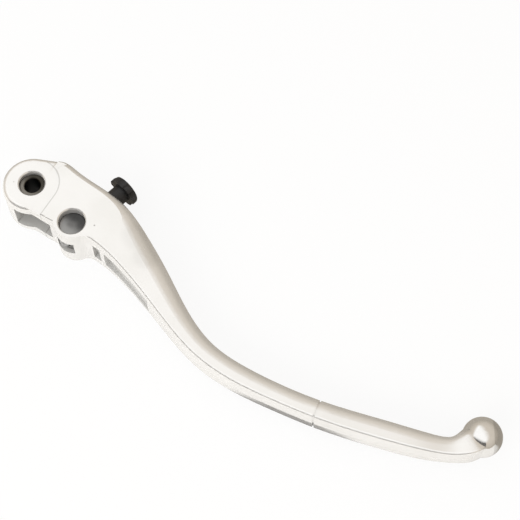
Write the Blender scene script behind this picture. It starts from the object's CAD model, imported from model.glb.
import math

import bpy
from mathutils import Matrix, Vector


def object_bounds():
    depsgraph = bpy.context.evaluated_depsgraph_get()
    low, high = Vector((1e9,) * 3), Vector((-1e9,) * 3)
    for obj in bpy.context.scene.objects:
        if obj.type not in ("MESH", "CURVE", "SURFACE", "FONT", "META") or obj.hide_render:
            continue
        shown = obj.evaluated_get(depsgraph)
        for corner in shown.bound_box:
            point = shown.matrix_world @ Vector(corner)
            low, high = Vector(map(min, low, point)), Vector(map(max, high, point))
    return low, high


# A polished clutch lever lying on a pale table under soft light.
# Lengths are in metres, X from the pivot to the ball end, Y to the front, Z up.

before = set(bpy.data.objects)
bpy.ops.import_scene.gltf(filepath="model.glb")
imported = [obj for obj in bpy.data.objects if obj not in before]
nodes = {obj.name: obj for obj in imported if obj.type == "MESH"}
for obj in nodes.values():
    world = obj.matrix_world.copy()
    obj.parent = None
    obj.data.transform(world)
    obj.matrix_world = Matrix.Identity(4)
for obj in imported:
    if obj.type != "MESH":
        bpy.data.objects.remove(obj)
cad_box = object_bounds()

MM = 0.001
TABLE_Z = cad_box[0].z

# Places and sizes on the lever
PIVOT = Vector((0.0, 0.0, 0.0))
BARREL = Vector((22.7, -6.1, 0.0)) * MM
BALL = Vector((196.0, 0.0, 0.0)) * MM
BALL_POLISH_FADE = (7.5 * MM, 10.0 * MM)
BALL_SEAM = Vector((0.86, 0.51, 0.0))
BALL_SEAM_AT = 3.4 * MM
BALL_SEAM_SOFT = 0.2 * MM
STEP_RADIUS = 10.6 * MM
STEP_LINE_WIDE = 0.35 * MM
BUSH_BORE = 3.05 * MM
BORE_EDGE = 0.2 * MM
ADJUSTER_TURN = math.radians(75.4)
ADJUSTER_AXIS = Vector((math.cos(ADJUSTER_TURN), math.sin(ADJUSTER_TURN), 0.0))
THREAD_PITCH = 0.8 * MM

# The middle line of the lever sags to the rear: how far, and the Xs over which the sag begins and ends
LEVER_SAG = -25 * MM
SAG_BEGINS = (30 * MM, 100 * MM)
SAG_ENDS = (118 * MM, 232 * MM)

# Each recess in the back of the lever: middle, half size and turn about Z, in millimetres and degrees
RECESSES = [
    ((6.7, -10.0, 0.0), (7.9, 8.0, 5.5), 0.0),
    ((22.7, -13.1, 0.0), (3.7, 7.0, 3.8), 0.0),
    ((35.1, -12.2, 0.0), (1.7, 5.0, 4.8), 0.0),
    ((50.14, -17.12, 0.0), (13.0, 5.0, 4.8), -21.0),
]
RECESS_MARGIN = 0.06 * MM

# Marks on the top of the lever: place and radius in millimetres, and how dark each one is
MARKS = [
    ((31.2, -3.2, 10.2), 0.42, 0.7),
    ((79.5, -17.0, 7.1), 0.35, 0.5),
    ((-6.3, -3.0, 9.5), 0.32, 0.5),
    ((47.5, 1.5, 9.0), 8.0, 0.10),
    ((54.5, -3.5, 9.0), 7.0, 0.10),
]
STEP_LINE_DARK = 0.35
BALL_SEAM_DARK = 0.3

# Finish of the aluminium: the polished lever, its worn patches, its rougher recesses and its bright ball
ALUMINIUM = (0.92, 0.915, 0.905)
ALUMINIUM_WORN = (0.89, 0.885, 0.87)
ALUMINIUM_CAST = (0.68, 0.68, 0.67)
ALUMINIUM_MARKED = (0.20, 0.19, 0.17)
LEVER_ROUGH = 0.16
LEVER_LINES_ROUGH = 0.08
WORN_ROUGH = 0.06
CAST_ROUGH = 0.55
BALL_SMOOTHER = 0.65
LEVER_METAL = 0.65
BALL_METAL_MORE = 0.25
CAST_METAL_LESS = 0.2
LEVER_WAVES = 0.2 * MM

# Finish of the steel pieces, with the pitch of their turning rings
BUSH_DARK, BUSH_BRIGHT, BUSH_RINGS = (0.06, 0.055, 0.045), (0.24, 0.225, 0.20), 0.3 * MM
BARREL_DARK, BARREL_BRIGHT, BARREL_RINGS = (0.07, 0.07, 0.07), (0.36, 0.36, 0.355), 0.22 * MM
TIP_DARK, TIP_BRIGHT, TIP_RINGS = (0.25, 0.25, 0.25), (0.45, 0.45, 0.45), 0.3 * MM
ZINC_BRIGHT, ZINC_DULL = (0.55, 0.55, 0.54), (0.40, 0.40, 0.39)
GREASE = (0.012, 0.011, 0.010)
TURNED_ROUGH = 0.26
ZINC_ROUGH = 0.25
STEEL_LINES_ROUGH = 0.2
RING_HEIGHT = 0.02 * MM
THREAD_HEIGHT = 0.6 * MM

# Finish of the plastic knob
PLASTIC, PLASTIC_WORN = (0.012, 0.012, 0.013), (0.03, 0.03, 0.031)
PLASTIC_ROUGH = 0.42
PLASTIC_WORN_ROUGH = 0.15
PLASTIC_GRAIN = 0.05 * MM

# The table: shares of plain glow in what the camera and the metal see of it, and its mirrored colours
TABLE_SIZE = 6.0
TABLE_DULL, TABLE_PALE = (0.93, 0.93, 0.93), (0.95, 0.95, 0.95)
WHITE = (1.0, 1.0, 1.0)
SEEN_SHARE = 0.88
FRONT_SHARE = 0.9
REAR_SHARE = 0.3
MIRRORED_REAR = (0.84, 0.84, 0.83)
MIRRORED_FRONT = (0.35, 0.31, 0.255)
MIRRORED_SPLIT = (-4 * MM, 6 * MM)
STRIP_ALONG = (96 * MM, 132 * MM, 174 * MM)
STRIP_EDGE = -4.6 * MM
STRIP_SOFT = 0.3 * MM
STRIP_WIDE = 2.8 * MM
STRIP_COLOUR = (0.015, 0.015, 0.015)

# The lights and the room round the table
SOFTBOX_GLOW = 1.06
SOFTBOX_COLOUR = (1.0, 0.995, 0.985, 1.0)
SOFTBOX_HALF = (1.3, 1.2)
SOFTBOX_CORE = (0.6, 0.6)
SOFTBOX_SLANT = 0.7
SOFTBOX_FADE = (-0.05, 0.8)
SOFTBOX_PLACE = (-0.05, 0.1, 0.9)
CLOTH_DARK, CLOTH_PALE = (0.03, 0.03, 0.032), (0.07, 0.065, 0.06)
CARD_SIZE = (2.0, 1.3)
CARD_PLACE = (0.1, -0.9, 0.7)
KEY_POWER = 11.0
KEY_SIZE = 1.0
KEY_PLACE = (0.0, -1.0, 0.8)
KEY_AIM = Vector((0.09, 0.0, 0.0))
ROOM_HIGH = (0.63, 0.565, 0.485)
ROOM_LOW = (0.43, 0.385, 0.32)
ROOM_RISE = (-0.1, 0.65)

# The camera stands over the rear of the lever, a little to the right
CAMERA_PLACE = (0.2057, -0.1757, 0.4876)
CAMERA_AIM = Vector((0.0905, 0.0203, 0.0))
CAMERA_SENSOR = 36.0
CAMERA_LENS = 96.92


# Short ways to add nodes

def fill(tree, socket, value):
    """Links another node's socket to this one, or sets a plain value"""
    if isinstance(value, bpy.types.NodeSocket):
        tree.links.new(value, socket)
    else:
        socket.default_value = value


def add(tree, kind, settings=None, **links):
    """Adds a node; settings are its properties, links its sockets by name or by place (s0, s1 ...)"""
    node = tree.nodes.new(f"ShaderNode{kind}")
    for prop, value in (settings or {}).items():
        setattr(node, prop, value)
    for label, value in links.items():
        by_place = label[0] == "s" and label[1:].isdigit()
        fill(tree, node.inputs[int(label[1:]) if by_place else label.replace("_", " ")], value)
    return node


def math_node(tree, operation, *values):
    places = {f"s{i}": value for i, value in enumerate(values)}
    return add(tree, "Math", {"operation": operation}, **places).outputs[0]


def vector_node(tree, operation, *values):
    places = {f"s{i}": value for i, value in enumerate(values)}
    node = add(tree, "VectorMath", {"operation": operation}, **places)
    return node.outputs["Value" if operation in ("LENGTH", "DOT_PRODUCT", "DISTANCE") else "Vector"]


def one_minus(tree, value):
    return math_node(tree, "SUBTRACT", 1.0, value)


def ramp(tree, value, low, high):
    """Runs from 0 at low to 1 at high, with soft ends"""
    node = add(tree, "MapRange", {"interpolation_type": "SMOOTHSTEP"}, Value=value)
    node.inputs["From Min"].default_value = low
    node.inputs["From Max"].default_value = high
    return node.outputs[0]


def mix_colour(tree, mask, first, second):
    node = add(tree, "Mix", {"data_type": "RGBA"}, s0=mask)
    for socket, value in ((node.inputs[6], first), (node.inputs[7], second)):
        fill(tree, socket, value if isinstance(value, bpy.types.NodeSocket) else (*value, 1.0))
    return node.outputs[2]


def noise(tree, vector, scale, detail=3.0):
    node = add(tree, "TexNoise", Vector=vector, Scale=scale, Detail=detail, Roughness=0.55)
    return node.outputs["Fac"]


def bump(tree, shader, height, strength, distance):
    node = add(tree, "Bump", Height=height, Strength=strength, Distance=distance)
    tree.links.new(node.outputs["Normal"], shader.inputs["Normal"])


def new_group(name, inputs, outputs):
    """An empty shader node group with its sockets; inputs carry their usual values"""
    group = bpy.data.node_groups.new(name, "ShaderNodeTree")
    for label, kind, value in inputs:
        socket = group.interface.new_socket(label, in_out="INPUT", socket_type=f"NodeSocket{kind}")
        if value is not None:
            socket.default_value = value
    for label, kind in outputs:
        group.interface.new_socket(label, in_out="OUTPUT", socket_type=f"NodeSocket{kind}")
    return group, group.nodes.new("NodeGroupInput"), group.nodes.new("NodeGroupOutput")


def place_group(tree, group, **values):
    """Places a group in a material and fills its inputs"""
    node = tree.nodes.new("ShaderNodeGroup")
    node.node_tree = group
    for label, value in values.items():
        fill(tree, node.inputs[label.replace("_", " ")], value)
    return node.outputs


def new_material(name, **fixed):
    """A material with one Principled shader; values that don't change are set on its own sockets"""
    material = bpy.data.materials.new(name)
    material.use_nodes = True
    tree = material.node_tree
    shader = tree.nodes["Principled BSDF"]
    for label, value in fixed.items():
        shader.inputs[label.replace("_", " ")].default_value = value
    place = tree.nodes.new("ShaderNodeTexCoord").outputs["Object"]
    return material, tree, shader, place


# Effects that are used more than once

def make_speck():
    """A small round mark with a soft rim at one place on the surface"""
    group, given, out = new_group("speck", [
        ("Place", "Vector", None),
        ("Centre", "Vector", None),
        ("Radius", "Float", 0.5 * MM),
        ("Depth", "Float", 1.0),
    ], [("Mask", "Float")])
    away = vector_node(group, "DISTANCE", given.outputs["Place"], given.outputs["Centre"])
    share = math_node(group, "DIVIDE", away, given.outputs["Radius"])
    mark = one_minus(group, ramp(group, share, 0.45, 1.0))
    group.links.new(math_node(group, "MULTIPLY", mark, given.outputs["Depth"]), out.inputs["Mask"])
    return group


def make_polish():
    """Polishing lines along X, hand marks and a faint waviness"""
    group, given, out = new_group("polish", [
        ("Place", "Vector", None),
        ("Line Scale", "Float", 900.0),
        ("Stretch", "Float", 0.06),
        ("Patch Scale", "Float", 60.0),
    ], [("Lines", "Float"), ("Patches", "Float"), ("Waves", "Float")])
    place = given.outputs["Place"]
    drawn = add(group, "CombineXYZ", X=given.outputs["Stretch"], Y=1.0, Z=1.0).outputs[0]
    along = vector_node(group, "MULTIPLY", place, drawn)
    group.links.new(noise(group, along, given.outputs["Line Scale"], 4.0), out.inputs["Lines"])
    group.links.new(noise(group, place, given.outputs["Patch Scale"], 4.0), out.inputs["Patches"])
    group.links.new(noise(group, place, 28.0, 1.0), out.inputs["Waves"])
    return group


def make_turned():
    """Turning rings round an upright axis, and the bright side they catch"""
    group, given, out = new_group("turned", [
        ("Place", "Vector", None),
        ("Centre", "Vector", None),
        ("Ring Pitch", "Float", 0.22 * MM),
        ("Sector Turn", "Float", -1.8),
    ], [("Rings", "Float"), ("Sectors", "Float"), ("Radius", "Float")])
    off = vector_node(group, "SUBTRACT", given.outputs["Place"], given.outputs["Centre"])
    flat = vector_node(group, "MULTIPLY", off, (1.0, 1.0, 0.0))
    radius = vector_node(group, "LENGTH", flat)
    part = add(group, "SeparateXYZ", Vector=flat)
    angle = math_node(group, "ARCTAN2", part.outputs["Y"], part.outputs["X"])
    turns = math_node(group, "DIVIDE", radius, given.outputs["Ring Pitch"])
    rings = math_node(group, "SINE", math_node(group, "MULTIPLY", turns, 2 * math.pi))
    from_bright = math_node(group, "SUBTRACT", angle, given.outputs["Sector Turn"])
    swing = math_node(group, "COSINE", from_bright)
    swing = math_node(group, "MULTIPLY", swing, ramp(group, radius, 0.0, 4 * MM))
    group.links.new(rings, out.inputs["Rings"])
    group.links.new(ramp(group, swing, -1.0, 1.4), out.inputs["Sectors"])
    group.links.new(radius, out.inputs["Radius"])
    return group


def make_recess():
    """The walls of a cut with flat sides, given by the cut's middle, its half sizes and its turn about Z"""
    group, given, out = new_group("recess", [
        ("Place", "Vector", None),
        ("Middle", "Vector", None),
        ("Half Size", "Vector", None),
        ("Turn", "Vector", None),
    ], [("Mask", "Float")])
    middle = given.outputs["Middle"]
    turned = add(group, "VectorRotate", {"rotation_type": "EULER_XYZ", "invert": True},
                 Vector=given.outputs["Place"], Center=middle, Rotation=given.outputs["Turn"]).outputs[0]
    off = vector_node(group, "ABSOLUTE", vector_node(group, "SUBTRACT", turned, middle))
    past = add(group, "SeparateXYZ", Vector=vector_node(group, "SUBTRACT", off, given.outputs["Half Size"]))
    furthest = math_node(group, "MAXIMUM", past.outputs["X"], past.outputs["Y"])
    furthest = math_node(group, "MAXIMUM", furthest, past.outputs["Z"])
    group.links.new(math_node(group, "LESS_THAN", furthest, RECESS_MARGIN), out.inputs["Mask"])
    return group


SPECK = make_speck()
POLISH = make_polish()
TURNED = make_turned()
RECESS = make_recess()


# Materials of the pieces

def step_line(tree, place):
    """The edge of the step round the pivot eye: an arc that runs on straight to the rear"""
    part = add(tree, "SeparateXYZ", Vector=place)
    reach = vector_node(tree, "LENGTH", vector_node(tree, "MULTIPLY", place, (1.0, 1.0, 0.0)))
    ahead = math_node(tree, "GREATER_THAN", part.outputs["Y"], 0.0)
    arc = math_node(tree, "MULTIPLY", reach, ahead)
    straight = math_node(tree, "MULTIPLY", part.outputs["X"], one_minus(tree, ahead))
    span = math_node(tree, "ADD", arc, straight)
    off = math_node(tree, "SUBTRACT", span, STEP_RADIUS + STEP_LINE_WIDE / 2)
    off = math_node(tree, "ABSOLUTE", off)
    near = one_minus(tree, ramp(tree, off, 0.3 * STEP_LINE_WIDE, STEP_LINE_WIDE))
    right = math_node(tree, "GREATER_THAN", part.outputs["X"], 0.0)
    return math_node(tree, "MULTIPLY", near, right)


def ball_shade(tree, place):
    """The duller far side of the ball, past a straight seam"""
    across = vector_node(tree, "DOT_PRODUCT", vector_node(tree, "SUBTRACT", place, BALL), BALL_SEAM)
    return ramp(tree, across, BALL_SEAM_AT - BALL_SEAM_SOFT, BALL_SEAM_AT + BALL_SEAM_SOFT)


def recess_walls(tree, place):
    """All the recesses in the back of the lever as one mask"""
    walls = 0.0
    for middle, half, turn in RECESSES:
        mask = place_group(tree, RECESS, Place=place, Middle=Vector(middle) * MM,
                           Half_Size=Vector(half) * MM, Turn=(0.0, 0.0, math.radians(turn)))["Mask"]
        walls = math_node(tree, "MAXIMUM", mask, walls)
    return walls


def lever_marks(tree, place):
    """The step's line, the marks on the top and the ball's dull side as one mask"""
    marked = math_node(tree, "MULTIPLY", step_line(tree, place), STEP_LINE_DARK)
    for centre, radius, depth in MARKS:
        mask = place_group(tree, SPECK, Place=place, Centre=Vector(centre) * MM,
                           Radius=radius * MM, Depth=depth)["Mask"]
        marked = math_node(tree, "MAXIMUM", mask, marked)
    shade = math_node(tree, "MULTIPLY", ball_shade(tree, place), BALL_SEAM_DARK)
    return math_node(tree, "MAXIMUM", marked, shade)


def polished_aluminium():
    """The lever: polished outside, rougher in its recesses, smoothest at the ball"""
    material, tree, shader, place = new_material("polished_aluminium")
    polish = place_group(tree, POLISH, Place=place)
    worn = ramp(tree, polish["Patches"], 0.35, 0.75)
    cast = recess_walls(tree, place)
    ball = one_minus(tree, ramp(tree, vector_node(tree, "DISTANCE", place, BALL), *BALL_POLISH_FADE))

    colour = mix_colour(tree, worn, ALUMINIUM, ALUMINIUM_WORN)
    colour = mix_colour(tree, cast, colour, ALUMINIUM_CAST)
    colour = mix_colour(tree, lever_marks(tree, place), colour, ALUMINIUM_MARKED)
    tree.links.new(colour, shader.inputs["Base Color"])

    rough = math_node(tree, "MULTIPLY_ADD", polish["Lines"], LEVER_LINES_ROUGH, LEVER_ROUGH)
    rough = math_node(tree, "MULTIPLY_ADD", worn, WORN_ROUGH, rough)
    rough = math_node(tree, "MULTIPLY", rough, math_node(tree, "MULTIPLY_ADD", ball, -BALL_SMOOTHER, 1.0))
    rough = math_node(tree, "MAXIMUM", rough, math_node(tree, "MULTIPLY", cast, CAST_ROUGH))
    tree.links.new(rough, shader.inputs["Roughness"])

    metal = math_node(tree, "MULTIPLY_ADD", ball, BALL_METAL_MORE, LEVER_METAL)
    metal = math_node(tree, "MULTIPLY_ADD", cast, -CAST_METAL_LESS, metal)
    tree.links.new(metal, shader.inputs["Metallic"])

    height = math_node(tree, "MULTIPLY_ADD", polish["Lines"], 0.12, polish["Waves"])
    bump(tree, shader, height, 0.1, LEVER_WAVES)
    return material


def turned_steel(name, centre, dark, bright, pitch, bore=0.0):
    """Steel with turning rings; a bore, where there is one, is dark with old grease"""
    material, tree, shader, place = new_material(name, Metallic=1.0)
    turned = place_group(tree, TURNED, Place=place, Centre=centre, Ring_Pitch=pitch)
    polish = place_group(tree, POLISH, Place=place, Stretch=1.0, Line_Scale=2500.0, Patch_Scale=400.0)
    tone = math_node(tree, "MULTIPLY_ADD", polish["Patches"], 0.35, turned["Sectors"])
    colour = mix_colour(tree, ramp(tree, tone, 0.1, 1.2), dark, bright)
    if bore:
        outside = ramp(tree, turned["Radius"], bore, bore + BORE_EDGE)
        colour = mix_colour(tree, outside, GREASE, colour)
    tree.links.new(colour, shader.inputs["Base Color"])
    rough = math_node(tree, "MULTIPLY_ADD", polish["Lines"], STEEL_LINES_ROUGH, TURNED_ROUGH)
    tree.links.new(rough, shader.inputs["Roughness"])
    bump(tree, shader, turned["Rings"], 0.2, RING_HEIGHT)
    return material


def threaded_steel():
    """Zinc-plated steel with a screw thread as bump round the adjuster's axis"""
    material, tree, shader, place = new_material("threaded_steel", Metallic=1.0)
    off = vector_node(tree, "SUBTRACT", place, BARREL)
    along = vector_node(tree, "DOT_PRODUCT", off, ADJUSTER_AXIS)
    side = vector_node(tree, "DOT_PRODUCT", off, Vector((0, 0, 1)).cross(ADJUSTER_AXIS))
    up = add(tree, "SeparateXYZ", Vector=off).outputs["Z"]
    turn = math_node(tree, "DIVIDE", math_node(tree, "ARCTAN2", up, side), 2 * math.pi)
    turns = math_node(tree, "SUBTRACT", math_node(tree, "DIVIDE", along, THREAD_PITCH), turn)
    ridge = math_node(tree, "PINGPONG", turns, 0.5)
    polish = place_group(tree, POLISH, Place=place, Stretch=1.0, Line_Scale=1800.0, Patch_Scale=300.0)
    dull = ramp(tree, polish["Patches"], 0.3, 0.7)
    tree.links.new(mix_colour(tree, dull, ZINC_BRIGHT, ZINC_DULL), shader.inputs["Base Color"])
    rough = math_node(tree, "MULTIPLY_ADD", polish["Lines"], STEEL_LINES_ROUGH, ZINC_ROUGH)
    tree.links.new(rough, shader.inputs["Roughness"])
    bump(tree, shader, ridge, 1.0, THREAD_HEIGHT)
    return material


def black_plastic():
    """Matte moulded plastic, a little paler where it is handled"""
    material, tree, shader, place = new_material("black_plastic", Metallic=0.0)
    polish = place_group(tree, POLISH, Place=place, Stretch=1.0, Line_Scale=5000.0, Patch_Scale=350.0)
    worn = ramp(tree, polish["Patches"], 0.45, 0.8)
    tree.links.new(mix_colour(tree, worn, PLASTIC, PLASTIC_WORN), shader.inputs["Base Color"])
    rough = math_node(tree, "MULTIPLY_ADD", worn, PLASTIC_WORN_ROUGH, PLASTIC_ROUGH)
    tree.links.new(rough, shader.inputs["Roughness"])
    bump(tree, shader, polish["Lines"], 0.3, PLASTIC_GRAIN)
    return material


LOOKS = {
    "lever": polished_aluminium(),
    "pivot_bush": turned_steel("dark_bush_steel", PIVOT, BUSH_DARK, BUSH_BRIGHT, BUSH_RINGS, bore=BUSH_BORE),
    "cross_barrel": turned_steel("turned_barrel_steel", BARREL, BARREL_DARK, BARREL_BRIGHT, BARREL_RINGS),
    "adjuster_screw": threaded_steel(),
    "adjuster_knob": black_plastic(),
    "thrust_tip": turned_steel("thrust_tip_steel", BARREL, TIP_DARK, TIP_BRIGHT, TIP_RINGS),
}
for node, material in LOOKS.items():
    mesh = nodes[node].data
    mesh.materials.clear()
    mesh.materials.append(material)


# Materials of the stage

def lever_line(tree, along):
    """Y of the lever's middle line at a given X"""
    begun = ramp(tree, along, *SAG_BEGINS)
    ended = ramp(tree, along, *SAG_ENDS)
    return math_node(tree, "MULTIPLY", math_node(tree, "SUBTRACT", begun, ended), LEVER_SAG)


def dark_strip(tree, along, aside):
    """A dark strip on the table close behind the grip, widest in the middle, which the grip mirrors"""
    first, middle, last = STRIP_ALONG
    begun = ramp(tree, along, first, middle)
    ended = one_minus(tree, ramp(tree, along, middle, last))
    share = math_node(tree, "MULTIPLY", begun, ended)
    past = math_node(tree, "MULTIPLY_ADD", share, STRIP_WIDE, aside)
    near = ramp(tree, past, STRIP_EDGE - STRIP_SOFT, STRIP_EDGE + STRIP_SOFT)
    return math_node(tree, "MULTIPLY", near, ramp(tree, share, 0.0, 0.3))


def table_top():
    """Pale table, near white to the camera; the metal mirrors it pale behind the lever and tan in front"""
    material, tree, shader, place = new_material("table_top", Roughness=0.8)
    grain = noise(tree, place, 40.0)
    tree.links.new(mix_colour(tree, grain, TABLE_DULL, TABLE_PALE), shader.inputs["Base Color"])
    part = add(tree, "SeparateXYZ", Vector=place)
    aside = math_node(tree, "SUBTRACT", part.outputs["Y"], lever_line(tree, part.outputs["X"]))
    ahead = ramp(tree, aside, *MIRRORED_SPLIT)
    strip = dark_strip(tree, part.outputs["X"], aside)
    strip_behind = math_node(tree, "MULTIPLY", strip, one_minus(tree, ahead))
    mirrored = mix_colour(tree, ahead, MIRRORED_REAR, MIRRORED_FRONT)
    mirrored = mix_colour(tree, strip_behind, mirrored, STRIP_COLOUR)

    path = tree.nodes.new("ShaderNodeLightPath").outputs
    bounced = math_node(tree, "MAXIMUM", path["Is Glossy Ray"], path["Is Transmission Ray"])
    plain = math_node(tree, "MAXIMUM", ahead, strip)
    plain = math_node(tree, "MULTIPLY_ADD", plain, FRONT_SHARE - REAR_SHARE, REAR_SHARE)
    seen = math_node(tree, "MULTIPLY", path["Is Camera Ray"], SEEN_SHARE)
    share = math_node(tree, "MAXIMUM", seen, math_node(tree, "MULTIPLY", bounced, plain))
    glow = add(tree, "Emission", Color=mix_colour(tree, bounced, WHITE, mirrored), Strength=1.0)
    both = add(tree, "MixShader", s0=share, s1=shader.outputs[0], s2=glow.outputs[0])
    tree.links.new(both.outputs[0], tree.nodes["Material Output"].inputs["Surface"])
    return material


def softbox_front():
    """The face of the softbox, fading into the room towards its edges and aslant towards the front"""
    material = bpy.data.materials.new("softbox_front")
    material.use_nodes = True
    tree = material.node_tree
    tree.nodes.remove(tree.nodes["Principled BSDF"])
    part = add(tree, "SeparateXYZ", Vector=tree.nodes.new("ShaderNodeTexCoord").outputs["Object"])
    x, y = part.outputs["X"], part.outputs["Y"]
    across = ramp(tree, math_node(tree, "ABSOLUTE", x), SOFTBOX_CORE[0], SOFTBOX_HALF[0])
    across = one_minus(tree, across)
    ahead = one_minus(tree, ramp(tree, y, SOFTBOX_CORE[1], SOFTBOX_HALF[1]))
    slanted = math_node(tree, "MULTIPLY_ADD", x, SOFTBOX_SLANT, y)
    ahead = math_node(tree, "MULTIPLY", ahead, one_minus(tree, ramp(tree, slanted, *SOFTBOX_FADE)))
    behind = ramp(tree, y, -SOFTBOX_HALF[1], -SOFTBOX_HALF[1] / 2)
    covered = math_node(tree, "MULTIPLY", math_node(tree, "MULTIPLY", across, ahead), behind)
    glow = add(tree, "Emission", Color=SOFTBOX_COLOUR, Strength=SOFTBOX_GLOW)
    clear = tree.nodes.new("ShaderNodeBsdfTransparent")
    both = add(tree, "MixShader", s0=covered, s1=clear.outputs[0], s2=glow.outputs[0])
    tree.links.new(both.outputs[0], tree.nodes["Material Output"].inputs["Surface"])
    return material


def dark_cloth():
    """Cloth on the card behind the camera, which only the metal mirrors"""
    material, tree, shader, place = new_material("dark_cloth", Roughness=0.9)
    folds = noise(tree, place, 9.0)
    tree.links.new(mix_colour(tree, folds, CLOTH_DARK, CLOTH_PALE), shader.inputs["Base Color"])
    return material


# Stage, lights and camera

def stage_mesh(name, width, depth, material, place):
    """A flat sheet of the stage, level about its own middle"""
    mesh = bpy.data.meshes.new(name)
    x, y = width / 2, depth / 2
    mesh.from_pydata([(-x, -y, 0), (x, -y, 0), (x, y, 0), (-x, y, 0)], [], [(0, 1, 2, 3)])
    mesh.materials.append(material)
    thing = bpy.data.objects.new(name, mesh)
    thing.location = place
    bpy.context.scene.collection.objects.link(thing)
    return thing


def aim(thing, target):
    """Turns a lamp or the camera towards a place"""
    thing.rotation_euler = (target - thing.location).to_track_quat("-Z", "Y").to_euler()


stage_mesh("table", TABLE_SIZE, TABLE_SIZE, table_top(), (0.0, 0.0, TABLE_Z))
softbox = stage_mesh("softbox", 2 * SOFTBOX_HALF[0], 2 * SOFTBOX_HALF[1], softbox_front(), SOFTBOX_PLACE)
softbox.visible_camera = False
card = stage_mesh("dark_card", *CARD_SIZE, dark_cloth(), CARD_PLACE)
card.rotation_euler = (math.radians(90), 0.0, 0.0)
card.visible_camera = False
card.visible_diffuse = False
card.visible_shadow = False

key = bpy.data.lights.new("rear_key", "AREA")
key.shape = "DISK"
key.size = KEY_SIZE
key.energy = KEY_POWER
rear_key = bpy.data.objects.new("rear_key", key)
rear_key.location = KEY_PLACE
aim(rear_key, KEY_AIM)
rear_key.visible_glossy = False
bpy.context.scene.collection.objects.link(rear_key)

world = bpy.data.worlds.new("studio")
bpy.context.scene.world = world
world.use_nodes = True
sky = world.node_tree
part = add(sky, "SeparateXYZ", Vector=sky.nodes.new("ShaderNodeTexCoord").outputs["Object"])
room = mix_colour(sky, ramp(sky, part.outputs["Z"], *ROOM_RISE), ROOM_LOW, ROOM_HIGH)
sky.links.new(room, sky.nodes["Background"].inputs["Color"])

camera = bpy.data.objects.new("camera", bpy.data.cameras.new("camera"))
bpy.context.scene.collection.objects.link(camera)
camera.location = CAMERA_PLACE
aim(camera, CAMERA_AIM)
camera.data.sensor_width = CAMERA_SENSOR
camera.data.lens = CAMERA_LENS
bpy.context.scene.camera = camera

bpy.context.scene.view_settings.view_transform = "Standard"
